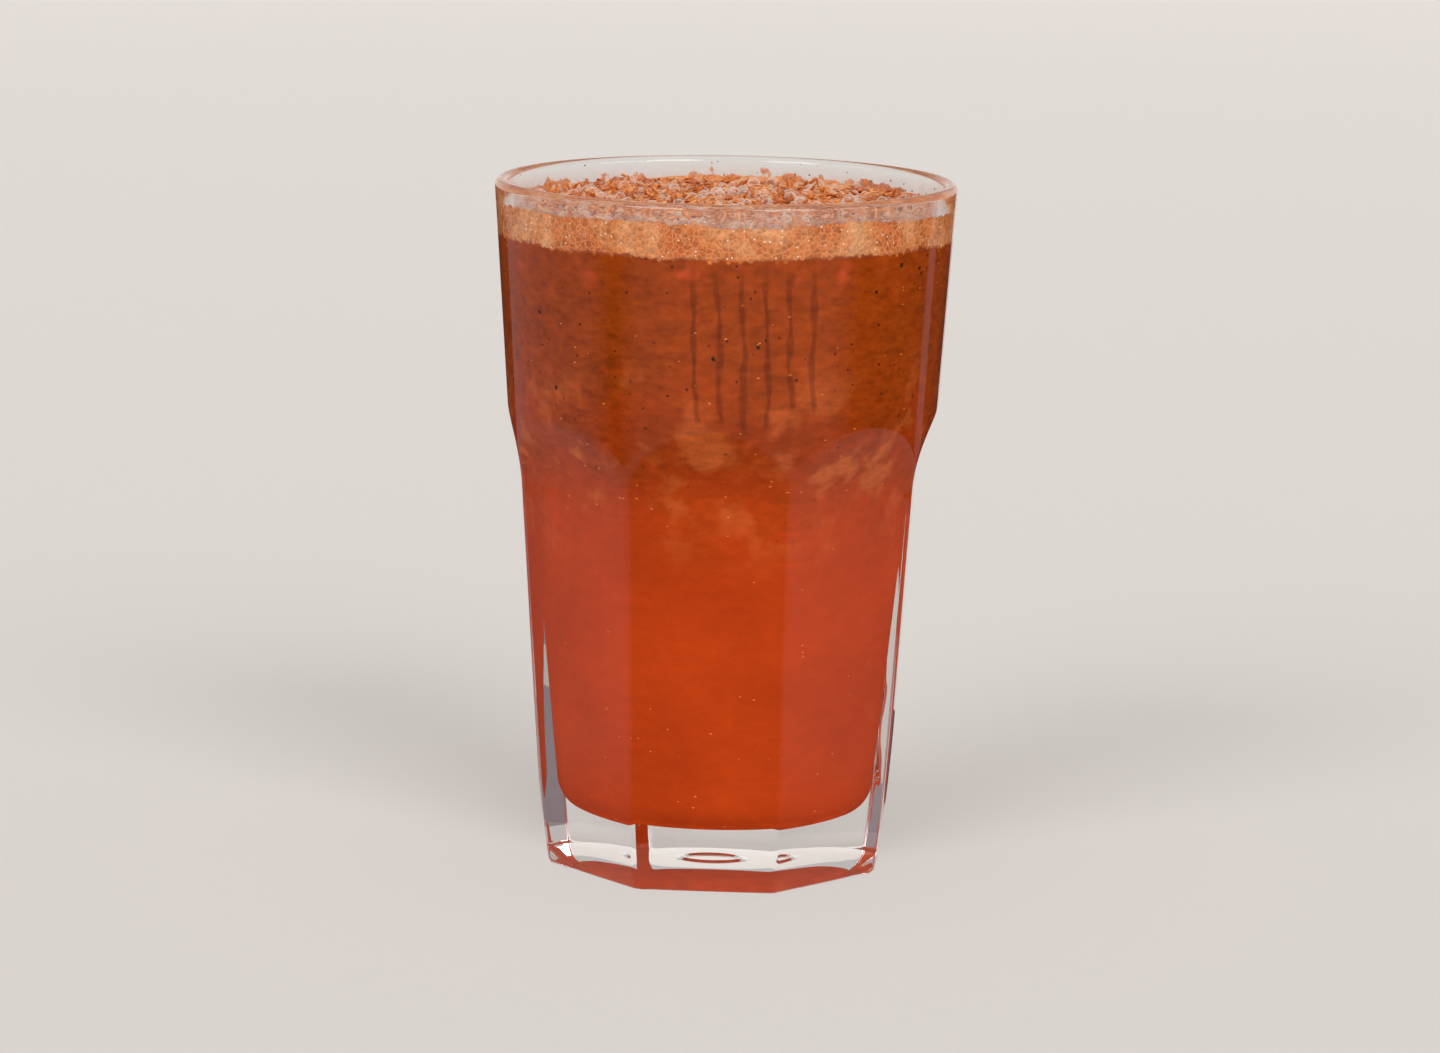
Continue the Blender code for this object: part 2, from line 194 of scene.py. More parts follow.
for vert in tumbler.data.vertices:
    radius = math.hypot(vert.co.x, vert.co.y)
    turn = math.atan2(vert.co.y, vert.co.x)
    if radius > body_radius(vert.co.z) - 2.1 * FOOT_ROUND and vert.co.z < ARCHES_HIGH:
        share = pressed_radius(vert.co.z, turn) / body_radius(vert.co.z)
    elif vert.co.z < HOLLOW_DEPTH + MARK_DEPTH and radius < RING_DISTANCE + 0.0001:
        outward = (radius / RING_DISTANCE) ** 2
        share = 1 + outward * (eight_sided(RING_DISTANCE, turn, RING_CORNER) / RING_DISTANCE - 1)
    else:
        share = 1.0
    vert.co.x *= share
    vert.co.y *= share

# Light crosses many faces on its way through glass and drink, so more bounces than usual are followed.
light_paths = bpy.context.scene.cycles
light_paths.max_bounces = 24
light_paths.transmission_bounces = 24
light_paths.glossy_bounces = 16
light_paths.transparent_max_bounces = 24
glass = bpy.data.materials.new("pressed clear glass")
glass.use_nodes = True
nodes, links = glass.node_tree.nodes, glass.node_tree.links
clear = nodes["Principled BSDF"]
clear.inputs["Base Color"].default_value = (0.975, 0.98, 0.98, 1.0)
clear.inputs["Roughness"].default_value = 0.0
clear.inputs["IOR"].default_value = 1.52
clear.inputs["Transmission Weight"].default_value = 1.0
place = nodes.new("ShaderNodeTexCoord")
ripple = nodes.new("ShaderNodeTexNoise")
ripple.inputs["Scale"].default_value = 95.0
ripple.inputs["Detail"].default_value = 1.0
bump = nodes.new("ShaderNodeBump")
bump.inputs["Strength"].default_value = 0.25
bump.inputs["Distance"].default_value = 0.00008
links.new(place.outputs["Object"], ripple.inputs["Vector"])
links.new(ripple.outputs["Fac"], bump.inputs["Height"])
links.new(bump.outputs["Normal"], clear.inputs["Normal"])
lit_through = nodes.new("ShaderNodeBsdfTransparent")
ray = nodes.new("ShaderNodeLightPath")
either = nodes.new("ShaderNodeMixShader")
links.new(ray.outputs["Is Shadow Ray"], either.inputs[0])
links.new(clear.outputs["BSDF"], either.inputs[1])
links.new(lit_through.outputs["BSDF"], either.inputs[2])
links.new(either.outputs["Shader"], nodes["Material Output"].inputs["Surface"])
tumbler.data.materials.append(glass)
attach(tumbler, "root")
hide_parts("tumbler")
# The glass and the drink are kept out of the bounced light that would turn the pale table pink.
tumbler.visible_diffuse = False

# The juice is blended fruit, poured to fill the lower part of the glass. It is a bright red-orange, and
# cloudy, with few specks. It wets the wall all over, so its piece reaches just into the glass.
WETTING = 0.00015
LAYER_LEVEL = 0.0660
LAYER_WAVE = 0.0030
LAYER_LUMPS = (55, 120)
DRINK_TURNS = 192
LEVEL_RINGS = 16
SETTLED = (0.050, 0.100)
LUMPY = (0.056, 0.100)
# The band just above the glass's floor: the sediment there is grainier, and the colour is brightened as
# painted light from below.
SEDIMENT_AND_PAINTED_LIGHT = (CAVITY_FLOOR + 0.0015, CAVITY_FLOOR)
FLECKED = (0.1095, 0.1155)
SWIRL = (0.0007, 0.0007, 0.0007)
DARK_SPECKS = ((260.0, 0.00048, 0.30), (430.0, 0.00028, 0.60))
PALE_SPECKS = (380.0, 0.00030, 0.25)
BRIGHT_JUICE = (0.52, 0.050, 0.0045, 1.0)
BROWN_JUICE = (0.31, 0.047, 0.0038, 1.0)
PALE_PULP = (0.62, 0.135, 0.030, 1.0)
DARK_SPECK = (0.035, 0.012, 0.004, 1.0)
PALE_SPECK = (0.80, 0.26, 0.06, 1.0)
RED_FLECK = (0.75, 0.095, 0.030, 1.0)


def layer_height(x, y):
    """The uneven level where the pulpy layer floats on the juice."""
    coarse = noise.noise(Vector((x, y, 0.31)) * LAYER_LUMPS[0])
    fine = noise.noise(Vector((x, y, 0.77)) * LAYER_LUMPS[1])
    return LAYER_LEVEL + LAYER_WAVE * (coarse + 0.5 * fine)


def make_uneven(piece, level, height_at):
    """Moves the points of a piece that lie at one level to an uneven surface."""
    for vert in piece.data.vertices:
        if abs(vert.co.z - level) < 1e-6:
            radius = math.hypot(vert.co.x, vert.co.y)
            at_wall = radius > cavity_radius(level)
            vert.co.z = height_at(vert.co.x, vert.co.y)
            if at_wall:
                vert.co.x *= (cavity_radius(vert.co.z) + WETTING) / radius
                vert.co.y *= (cavity_radius(vert.co.z) + WETTING) / radius


def add_node(tree, kind, **settings):
    """A shader node with its properties, and its sockets by name, set."""
    made = tree.nodes.new(kind)
    for name, value in settings.items():
        if hasattr(made, name):
            setattr(made, name, value)
        else:
            made.inputs[name.replace("_", " ")].default_value = value
    return made


def remap(tree, value, low, high, to_low=0.0, to_high=1.0, kind="LINEAR"):
    """A value's range carried over to another range."""
    made = add_node(tree, "ShaderNodeMapRange", interpolation_type=kind)
    for name, limit in (("From Min", low), ("From Max", high), ("To Min", to_low), ("To Max", to_high)):
        made.inputs[name].default_value = limit
    tree.links.new(value, made.inputs["Value"])
    return made.outputs["Result"]


def combine(tree, operation, first, second):
    """Arithmetic on two values, the second of which may be a plain number."""
    made = add_node(tree, "ShaderNodeMath", operation=operation)
    tree.links.new(first, made.inputs[0])
    if isinstance(second, float):
        made.inputs[1].default_value = second
    else:
        tree.links.new(second, made.inputs[1])
    return made.outputs[0]


def blend(tree, share, below, above):
    """One colour over another by a share. Either colour may be fixed."""
    made = add_node(tree, "ShaderNodeMix", data_type="RGBA")
    tree.links.new(share, made.inputs["Factor"])
    for socket, colour in ((made.inputs[6], below), (made.inputs[7], above)):
        if isinstance(colour, tuple):
            socket.default_value = colour
        else:
            tree.links.new(colour, socket)
    return made.outputs[2]


def brighten(tree, colour, value):
    """A colour made lighter or darker by a value."""
    made = add_node(tree, "ShaderNodeVectorMath", operation="SCALE")
    tree.links.new(colour, made.inputs[0])
    tree.links.new(value, made.inputs["Scale"])
    return made.outputs[0]


def textured(tree, kind, spot, **settings):
    """A texture read at a place."""
    made = add_node(tree, kind, **settings)
    tree.links.new(spot, made.inputs["Vector"])
    return made


def picked_cells(tree, spot, scale, size, kept):
    """Small round dots: the cells of a Voronoi pattern that are picked at random."""
    cells = textured(tree, "ShaderNodeTexVoronoi", spot, Scale=scale)
    near = remap(tree, cells.outputs["Distance"], size * scale, size * scale * 0.6)
    pick = add_node(tree, "ShaderNodeSeparateColor")
    tree.links.new(cells.outputs["Color"], pick.inputs[0])
    chosen = combine(tree, "LESS_THAN", pick.outputs[0], kept)
    return combine(tree, "MULTIPLY", near, chosen)


# How the drink's colour runs: bright below, brown above, blotchy between, with specks throughout and
# red flecks under the froth. Near the floor of the glass, where the sediment lies, the colour is also
# brightened: painted light, for the light that comes up through the base.
settling = bpy.data.node_groups.new("settling pulp", "ShaderNodeTree")
settling.interface.new_socket("Bright", in_out="INPUT", socket_type="NodeSocketColor")
settling.interface.new_socket("Brown", in_out="INPUT", socket_type="NodeSocketColor")
settling.interface.new_socket("Colour", in_out="OUTPUT", socket_type="NodeSocketColor")
given = add_node(settling, "NodeGroupInput")
result = add_node(settling, "NodeGroupOutput")
where = add_node(settling, "ShaderNodeTexCoord").outputs["Object"]
split = add_node(settling, "ShaderNodeSeparateXYZ")
settling.links.new(where, split.inputs[0])
clouds = textured(settling, "ShaderNodeTexNoise", where, Scale=70.0, Detail=4.0, Roughness=0.6)
wobble = remap(settling, clouds.outputs["Fac"], 0.0, 1.0, -0.020, 0.020)
upper = remap(settling, combine(settling, "ADD", split.outputs["Z"], wobble), *SETTLED, kind="SMOOTHSTEP")
layered = blend(settling, upper, given.outputs["Bright"], given.outputs["Brown"])
lumps = textured(settling, "ShaderNodeTexNoise", where, Scale=105.0, Detail=3.0, Roughness=0.55)
pale = remap(settling, lumps.outputs["Fac"], 0.50, 0.66, 0.0, 0.75, "SMOOTHSTEP")
midway = combine(settling, "PINGPONG", remap(settling, split.outputs["Z"], *LUMPY, 0.0, 2.0), 1.0)
layered = blend(settling, combine(settling, "MULTIPLY", pale, midway), layered, PALE_PULP)
flattened = add_node(settling, "ShaderNodeVectorMath", operation="MULTIPLY")
flattened.inputs[1].default_value = (1.0, 1.0, 2.0)
settling.links.new(where, flattened.inputs[0])
grain = textured(settling, "ShaderNodeTexNoise", flattened.outputs[0], Scale=330.0, Detail=5.0,
                 Roughness=0.7)
depth = remap(settling, upper, 0.0, 1.0, 0.08, 0.32)
depth = combine(settling, "ADD", depth, remap(settling, split.outputs["Z"], *SEDIMENT_AND_PAINTED_LIGHT, 0.0, 0.35))
shade = combine(settling, "MULTIPLY", remap(settling, grain.outputs["Fac"], 0.3, 0.7, -1.0, 1.0), depth)
blotches = textured(settling, "ShaderNodeTexNoise", where, Scale=48.0, Detail=2.0)
shade = combine(settling, "ADD", shade, remap(settling, blotches.outputs["Fac"], 0.3, 0.7, -0.10, 0.10))
# Painted light: the colour is brightened towards the floor of the glass, for light coming up through the
# base.
painted_light_below = remap(settling, split.outputs["Z"], *SEDIMENT_AND_PAINTED_LIGHT, 1.0, 1.3)
layered = brighten(settling, layered, combine(settling, "ADD", shade, painted_light_below))
swirl = add_node(settling, "ShaderNodeVectorMath", operation="MULTIPLY_ADD")
swirl.inputs[1].default_value = SWIRL
swirls = textured(settling, "ShaderNodeTexNoise", where, Scale=900.0, Detail=1.0)
settling.links.new(swirls.outputs["Color"], swirl.inputs[0])
settling.links.new(where, swirl.inputs[2])
crowd = remap(settling, upper, 0.0, 1.0, 0.10, 1.0)
for kind in DARK_SPECKS:
    dots = picked_cells(settling, swirl.outputs[0], *kind)
    layered = blend(settling, combine(settling, "MULTIPLY", dots, crowd), layered, DARK_SPECK)
dots = picked_cells(settling, flattened.outputs[0], *PALE_SPECKS)
layered = blend(settling, dots, layered, PALE_SPECK)
flecks = textured(settling, "ShaderNodeTexNoise", where, Scale=150.0, Detail=2.0)
under_froth = combine(settling, "PINGPONG", remap(settling, split.outputs["Z"], *FLECKED, 0.0, 2.0), 1.0)
flecks = remap(settling, flecks.outputs["Fac"], 0.56, 0.68, 0.0, 0.55, "SMOOTHSTEP")
layered = blend(settling, combine(settling, "MULTIPLY", flecks, under_froth), layered, RED_FLECK)
settling.links.new(layered, result.inputs["Colour"])


def drink_material(name):
    """Cloudy drink behind glass: coloured by the settling pulp, and dull, as it meets no air there."""
    made = bpy.data.materials.new(name)
    made.use_nodes = True
    shader = made.node_tree.nodes["Principled BSDF"]
    shader.inputs["Roughness"].default_value = 0.6
    shader.inputs["Specular IOR Level"].default_value = 0.0
    pulp = add_node(made.node_tree, "ShaderNodeGroup", node_tree=settling)
    pulp.inputs["Bright"].default_value = BRIGHT_JUICE
    pulp.inputs["Brown"].default_value = BROWN_JUICE
    made.node_tree.links.new(pulp.outputs["Colour"], shader.inputs["Base Color"])
    return made


section = [(0.0, CAVITY_FLOOR - WETTING)]
reach = CAVITY_CORNER + WETTING
section += arc(corner_r, corner_z, reach, reach, -90, 0, 10)
section += [(cavity_radius(z) + WETTING, z) for z in spread(corner_z, LAYER_LEVEL, 12)[1:]]
edge_r = cavity_radius(LAYER_LEVEL) + WETTING
layer_rings = [(edge_r * (1 - i / LEVEL_RINGS), LAYER_LEVEL) for i in range(1, LEVEL_RINGS + 1)]
section += layer_rings
juice = draw_section("poured_juice", section)
spin_section(DRINK_TURNS)
make_uneven(juice, LAYER_LEVEL, layer_height)
juice.data.materials.append(drink_material("red-orange juice"))
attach(juice, "root")
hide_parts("juice")
juice.visible_diffuse = False

# The pulp has risen in the upper part of the glass and turned it a darker brown-orange, full of fine
# fibres and dark specks. It floats on the juice, without a sharp line between the two, and its top
# passes into the froth along a row of bubbles.
FROTH_BOTTOM = 0.1152
FROTH_LINE = 0.1151
DEEP_FOAM = (0.56, 0.115, 0.014, 1.0)
MID_FOAM = (0.66, 0.190, 0.045, 1.0)
PALE_FOAM = (0.82, 0.38, 0.17, 1.0)
# The next two set the painted glints on the foam: their near-white colour, and the scale, size and share of
# their dots.
PAINTED_GLINT_COLOUR = (0.95, 0.80, 0.66, 1.0)
PAINTED_GLINT_DOTS = (1100.0, 0.00019, 0.35)

# How foam looks: patches of three colours, cut up by fine bubbles and by larger ones with pale skins.
# Its share says where it begins, along a wavy line just under the froth.
foaming =bpy.data.node_groups.new("fine foam", "ShaderNodeTree")
foaming.interface.new_socket("Colour", in_out="OUTPUT", socket_type="NodeSocketColor")
foaming.interface.new_socket("Height", in_out="OUTPUT", socket_type="NodeSocketFloat")
foaming.interface.new_socket("Share", in_out="OUTPUT", socket_type="NodeSocketFloat")
result = add_node(foaming, "NodeGroupOutput")
where = add_node(foaming, "ShaderNodeTexCoord").outputs["Object"]
split = add_node(foaming, "ShaderNodeSeparateXYZ")
foaming.links.new(where, split.inputs[0])
patches = textured(foaming, "ShaderNodeTexNoise", where, Scale=110.0, Detail=4.0, Roughness=0.6)
ramp = add_node(foaming, "ShaderNodeValToRGB")
ramp.color_ramp.elements[0].position = 0.34
ramp.color_ramp.elements[0].color = DEEP_FOAM
ramp.color_ramp.elements[1].position = 0.66
ramp.color_ramp.elements[1].color = PALE_FOAM
ramp.color_ramp.elements.new(0.48).color = MID_FOAM
foaming.links.new(patches.outputs["Fac"], ramp.inputs["Fac"])
fine = textured(foaming, "ShaderNodeTexVoronoi", where, Scale=1900.0)
fine_shade = remap(foaming, fine.outputs["Distance"], 0.15, 0.7, 0.80, 1.20)
froth_colour = brighten(foaming, ramp.outputs["Color"], fine_shade)
large = textured(foaming, "ShaderNodeTexVoronoi", where, Scale=900.0)
own = add_node(foaming, "ShaderNodeSeparateColor")
foaming.links.new(large.outputs["Color"], own.inputs[0])
froth_colour = brighten(foaming, froth_colour, remap(foaming, own.outputs[0], 0.0, 1.0, 0.72, 1.06))
rims = textured(foaming, "ShaderNodeTexVoronoi", where, feature="DISTANCE_TO_EDGE", Scale=900.0)
skin = remap(foaming, rims.outputs["Distance"], 0.10, 0.02, 0.0, 0.55, "SMOOTHSTEP")
froth_colour = blend(foaming, skin, froth_colour, PALE_FOAM)
# Painted glints: near-white dots on random cells, painted highlights on the bubbles.
dots = picked_cells(foaming, where, *PAINTED_GLINT_DOTS)
froth_colour = blend(foaming, dots, froth_colour, PAINTED_GLINT_COLOUR)
waves = textured(foaming, "ShaderNodeTexNoise", where, Scale=140.0, Detail=3.0)
waves = remap(foaming, waves.outputs["Fac"], 0.25, 0.75, -0.0006, 0.0006)
scallops = remap(foaming, large.outputs["Distance"], 0.0, 0.7, 0.0005, -0.0005)
edge = combine(foaming, "ADD", combine(foaming, "ADD", split.outputs["Z"], waves), scallops)
share = remap(foaming, edge, FROTH_LINE - 0.0002, FROTH_LINE + 0.0003)
foaming.links.new(froth_colour, result.inputs["Colour"])
foaming.links.new(large.outputs["Distance"], result.inputs["Height"])
foaming.links.new(share, result.inputs["Share"])

# Over the upper part in front, the drink's colour is made a little lighter across a band of turns, and
# thin dark streaks run down through it, slightly slanted. They fade towards the froth.
BAND_LOW = 0.0860
BAND_LIFT = 0.06
BAND_TURNS = (-16, 33)
STREAKED = (-8, 30)
STREAK_SHADE = 0.36
STREAK_FADE = (0.1150, 0.1095)
STREAK_STEP = 6.3
STREAK_START = 180.0 - 0.1 * STREAK_STEP
STREAK_HALF = (0.35, 1.05)
STREAK_SLANT = 60.0
banding =bpy.data.node_groups.new("lighter band and streaks on the wall", "ShaderNodeTree")
banding.interface.new_socket("Shade", in_out="OUTPUT", socket_type="NodeSocketFloat")
result = add_node(banding, "NodeGroupOutput")
where = add_node(banding, "ShaderNodeTexCoord").outputs["Object"]
split = add_node(banding, "ShaderNodeSeparateXYZ")
banding.links.new(where, split.inputs[0])
turn = combine(banding, "ARCTAN2", split.outputs["X"], combine(banding, "MULTIPLY", split.outputs["Y"], -1.0))
turn = combine(banding, "DEGREES", turn, 0.0)
ragged = textured(banding, "ShaderNodeTexNoise", where, Scale=120.0, Detail=2.0)
above = combine(banding, "SUBTRACT", split.outputs["Z"], BAND_LOW)
turn = combine(banding, "ADD", turn, combine(banding, "MULTIPLY", above, STREAK_SLANT))
turn = combine(banding, "ADD", turn, remap(banding, ragged.outputs["Fac"], 0.0, 1.0, -1.6, 1.6))
lift = remap(banding, ragged.outputs["Fac"], 0.3, 0.7, -0.003, 0.003)
lift = combine(banding, "ADD", split.outputs["Z"], lift)
low = remap(banding, lift, BAND_LOW - 0.001, BAND_LOW + 0.001)
in_band = remap(banding, turn, BAND_TURNS[0] - 3.0, BAND_TURNS[0] + 3.0)
in_band = combine(banding, "MULTIPLY", in_band, remap(banding, turn, BAND_TURNS[1] + 1.0, BAND_TURNS[1] - 1.0))
in_step = combine(banding, "ADD", turn, STREAK_START)
in_step = combine(banding, "PINGPONG", in_step, STREAK_STEP / 2)
width =textured(banding, "ShaderNodeTexNoise", where, Scale=260.0, Detail=1.0)
width = remap(banding, width.outputs["Fac"], 0.3, 0.7, *STREAK_HALF)
streak = remap(banding, combine(banding, "DIVIDE", in_step, width), 1.4, 0.6)
for limits in ((STREAKED[0] - 0.5, STREAKED[0] + 0.5), (STREAKED[1] + 0.5, STREAKED[1] - 0.5)):
    streak = combine(banding, "MULTIPLY", streak, remap(banding, turn, *limits))
fade = remap(banding, split.outputs["Z"], *STREAK_FADE, 0.0, STREAK_SHADE)
streak = combine(banding, "MULTIPLY", streak, fade)
shade = combine(banding, "SUBTRACT", combine(banding, "MULTIPLY", in_band, BAND_LIFT), streak)
shade = combine(banding, "MULTIPLY", shade, low)
banding.links.new(combine(banding, "ADD", shade, 1.0), result.inputs["Shade"])


def add_foam(material):
    """Lays the foam over a drink material's colour above the froth's line, and returns the foam's node."""
    tree = material.node_tree
    shader = tree.nodes["Principled BSDF"]
    foam = add_node(tree, "ShaderNodeGroup", node_tree=foaming)
    drink_colour = shader.inputs["Base Color"].links[0].from_socket
    tree.links.new(blend(tree, foam.outputs["Share"], drink_colour, foam.outputs["Colour"]),
                   shader.inputs["Base Color"])
    return foam


section = [(0.0, FROTH_BOTTOM)]
section += [(cavity_radius(z) + WETTING, z) for z in spread(FROTH_BOTTOM, STEP_HIGH, 5)]
section += [(cavity_radius(z) + WETTING, z) for z in spread(STEP_HIGH, STEP_LOW, 24)[1:]]
section += [(edge_r, LAYER_LEVEL)] + layer_rings
pulp_layer = draw_section("risen_pulp", section)
spin_section(DRINK_TURNS)
make_uneven(pulp_layer, LAYER_LEVEL, layer_height)
pulpy = drink_material("brown-orange pulpy juice")
tree = pulpy.node_tree
wall_band = add_node(tree, "ShaderNodeGroup", node_tree=banding)
colour_socket = tree.nodes["Principled BSDF"].inputs["Base Color"]
tree.links.new(brighten(tree, colour_socket.links[0].from_socket, wall_band.outputs["Shade"]), colour_socket)
add_foam(pulpy)
pulp_layer.data.materials.append(pulpy)
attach(pulp_layer, "root")
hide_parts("pulp_layer")
pulp_layer.visible_diffuse = False

# The froth is a head of fine bubbles, pale where they are thickest and orange where pulp has been
# caught between them. It clings to the wall and climbs it a little.
FROTH_TOP = 0.1202
FROTH_CLIMB = 0.0008
FROTH_CLIMB_WIDTH = 0.0060
FROTH_BUMP = 0.00018
FROTH_LUMPS = (420, 900)
FROTH_RINGS = 110
FROTH_TURNS = 240
CLIMB_LUMPS = 45
BUBBLE_SIZES = (0.0011, 0.0006)
BUBBLE_RISE = 0.30
BUBBLE_GAP = 2.2
BUBBLE_SINK = 0.25


def froth_height(x, y):
    """The froth's surface, nearly level, with small lumps and a climb at the wall."""
    inward = (cavity_radius(FROTH_TOP) - math.hypot(x, y)) / FROTH_CLIMB_WIDTH
    uneven = 1 + noise.noise(Vector((x, y, 0.0)) * CLIMB_LUMPS)
    climb = FROTH_CLIMB * math.exp(-3 * max(inward, 0.0)) * uneven
    coarse = noise.noise(Vector((x, y, 0.13)) * FROTH_LUMPS[0])
    fine = noise.noise(Vector((x, y, 0.59)) * FROTH_LUMPS[1])
    return FROTH_TOP + climb + FROTH_BUMP * (coarse + 0.6 * fine)


def bubbly(x, y):
    """The froth's surface with the round tops of its bubbles standing out of it."""
    level = froth_height(x, y)
    for size in BUBBLE_SIZES:
        far = noise.voronoi(Vector((x, y, size)) / size)[0][0]
        level += BUBBLE_RISE * size * math.sqrt(max(1.0 - far * far * BUBBLE_GAP, 0.0))
    return level - BUBBLE_SINK * BUBBLE_SIZES[0]


section = [(0.0, FROTH_BOTTOM), (cavity_radius(FROTH_BOTTOM) + WETTING, FROTH_BOTTOM)]
edge_r = cavity_radius(FROTH_TOP) + WETTING
section += [(edge_r * (1 - i / FROTH_RINGS), FROTH_TOP) for i in range(FROTH_RINGS + 1)]
froth = draw_section("froth_head", section)
spin_section(FROTH_TURNS)
make_uneven(froth, FROTH_TOP, bubbly)
foam_material = drink_material("peach froth")
foam = add_foam(foam_material)
shader = foam_material.node_tree.nodes["Principled BSDF"]
shader.inputs["Roughness"].default_value = 0.32
shader.inputs["Specular IOR Level"].default_value = 0.35
raised = add_node(foam_material.node_tree, "ShaderNodeBump", Strength=0.6, Distance=0.0003, invert=True)
foam_material.node_tree.links.new(foam.outputs["Height"], raised.inputs["Height"])
foam_material.node_tree.links.new(raised.outputs["Normal"], shader.inputs["Normal"])
froth.data.materials.append(foam_material)
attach(froth, "root")
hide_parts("froth")

# The shreds are bits of fruit flesh and skin that the blender has left, orange-brown and limp. They lie
# on the froth in all directions, and a few stand up out of it.
SHRED_KINDS = 6
SHRED_COUNT = 1400
SHRED_LENGTH = (0.0010, 0.0036)
SHRED_WIDTH = (0.0003, 0.0007)
SHRED_THICKNESS = 0.00022
SHRED_REACH = CAVITY_RIM_RADIUS - 0.0016
SHRED_BEND = 0.0004
SHRED_CURL = 0.0009
SHREDS_LYING = 0.93
SHRED_SIZES = (0.7, 1.15)
DARK_FLESH = (0.46, 0.105, 0.014, 1.0)
MID_FLESH = (0.74, 0.215, 0.038, 1.0)
PALE_FLESH = (0.90, 0.42, 0.17, 1.0)
draw = random.Random(11)


def join_copies(name, originals, places):
    """Copies of the modelled pieces, each with its own mesh, laid at their places and joined in one."""
    bpy.ops.object.select_all(action="DESELECT")
    for i, matrix in enumerate(places):
        mesh = originals[i % len(originals)].data.copy()
        mesh.transform(matrix)
        copied = bpy.data.objects.new(name, mesh)
        bpy.context.collection.objects.link(copied)
        copied.select_set(True)
        bpy.context.view_layer.objects.active = copied
    bpy.ops.object.join()
    joined = bpy.context.object
    for original in originals:
        bpy.data.objects.remove(original)
    joined.name = name
    joined.data.name = name
    return joined


def spiral_place(i, count, reach):
    """The i-th of evenly spread places on a disc, with some seeded scatter."""
    radius = reach * math.sqrt((i + 0.5) / count)
    turn = i * math.pi * (3 - math.sqrt(5)) + draw.uniform(-0.5, 0.5)
    return radius * math.cos(turn), radius * math.sin(turn)


shred_kinds = []
for kind in range(SHRED_KINDS):
    bpy.ops.object.select_all(action="DESELECT")
    bpy.ops.mesh.primitive_plane_add(size=1.0)
    shred = bpy.context.object
    shred.scale = (draw.uniform(*SHRED_LENGTH), draw.uniform(*SHRED_WIDTH), 1.0)
    bpy.ops.object.transform_apply(location=False, rotation=False, scale=True)
    bpy.ops.object.mode_set(mode="EDIT")
    bpy.ops.mesh.subdivide(number_cuts=2)
    bpy.ops.object.mode_set(mode="OBJECT")
    for vert in shred.data.vertices:
        vert.co.x += SHRED_BEND * noise.noise(vert.co * 900 + Vector((kind, 0, 0)))
        vert.co.y += SHRED_BEND * noise.noise(vert.co * 900 + Vector((0, kind, 0)))
        vert.co.z += SHRED_CURL * noise.noise(vert.co * 500 + Vector((0, 0, kind)))
    wall = shred.modifiers.new("flesh", "SOLIDIFY")
    wall.thickness = SHRED_THICKNESS
    bpy.ops.object.modifier_apply(modifier=wall.name)
    bpy.ops.object.shade_smooth()
    shred_kinds.append(shred)
lying = []
for i in range(SHRED_COUNT):
    x, y = spiral_place(i, SHRED_COUNT, SHRED_REACH)
    tilt = draw.gauss(0.0, 0.25) if draw.random() < SHREDS_LYING else draw.uniform(0.6, 1.3)
    place = Matrix.Translation((x, y, froth_height(x, y) + 0.0002 + abs(math.sin(tilt)) * 0.0008))
    turn = Matrix.Rotation(draw.uniform(0, 2 * math.pi), 4, "Z") @ Matrix.Rotation(tilt, 4, "Y")
    lying.append(place @ turn @ Matrix.Scale(draw.uniform(*SHRED_SIZES), 4))
shreds = join_copies("pulp_shreds", shred_kinds, lying)

flesh = bpy.data.materials.new("wet orange-brown pulp")
flesh.use_nodes = True
tree = flesh.node_tree
shader = tree.nodes["Principled BSDF"]
shader.inputs["Roughness"].default_value = 0.38
shader.inputs["Specular IOR Level"].default_value = 0.3
where = add_node(tree, "ShaderNodeTexCoord").outputs["Object"]
ramp = add_node(tree, "ShaderNodeValToRGB")
ramp.color_ramp.elements[0].position = 0.36
ramp.color_ramp.elements[0].color = DARK_FLESH
ramp.color_ramp.elements[1].position = 0.66
ramp.color_ramp.elements[1].color = PALE_FLESH
ramp.color_ramp.elements.new(0.50).color = MID_FLESH
shades = textured(tree, "ShaderNodeTexNoise", where, Scale=260.0, Detail=2.0)
tree.links.new(shades.outputs["Fac"], ramp.inputs["Fac"])
tree.links.new(ramp.outputs["Color"], shader.inputs["Base Color"])
shreds.data.materials.append(flesh)
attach(shreds, "root")

# The bubbles are large clear ones that stand among the fine froth, thickest at the far side and along
# the wall. Each is a thin film, nearly unseen in the middle and white at its rim.
BUBBLE_COUNT = 850
BUBBLE_REACH = CAVITY_RIM_RADIUS - 0.0016
BUBBLE_RADIUS = (0.00030, 0.0014)
DOME_CUT = -0.35
bpy.ops.object.select_all(action="DESELECT")
bpy.ops.mesh.primitive_uv_sphere_add(segments=10, ring_count=7, radius=1.0)
dome = bpy.context.object
bpy.ops.object.mode_set(mode="EDIT")
bpy.ops.mesh.select_all(action="SELECT")
bpy.ops.mesh.bisect(plane_co=(0, 0, DOME_CUT), plane_no=(0, 0, 1), use_fill=True, clear_inner=True)
bpy.ops.object.mode_set(mode="OBJECT")
bpy.ops.object.shade_smooth()
standing = []
for i in range(BUBBLE_COUNT):
    x, y = spiral_place(i, BUBBLE_COUNT, BUBBLE_REACH)
    size = BUBBLE_RADIUS[0] + (BUBBLE_RADIUS[1] - BUBBLE_RADIUS[0]) * draw.random() ** 4
    standing.append(Matrix.Translation((x, y, froth_height(x, y) + 0.1 * size)) @ Matrix.Scale(size, 4))
bubbles = join_copies("clear_bubbles", [dome], standing)

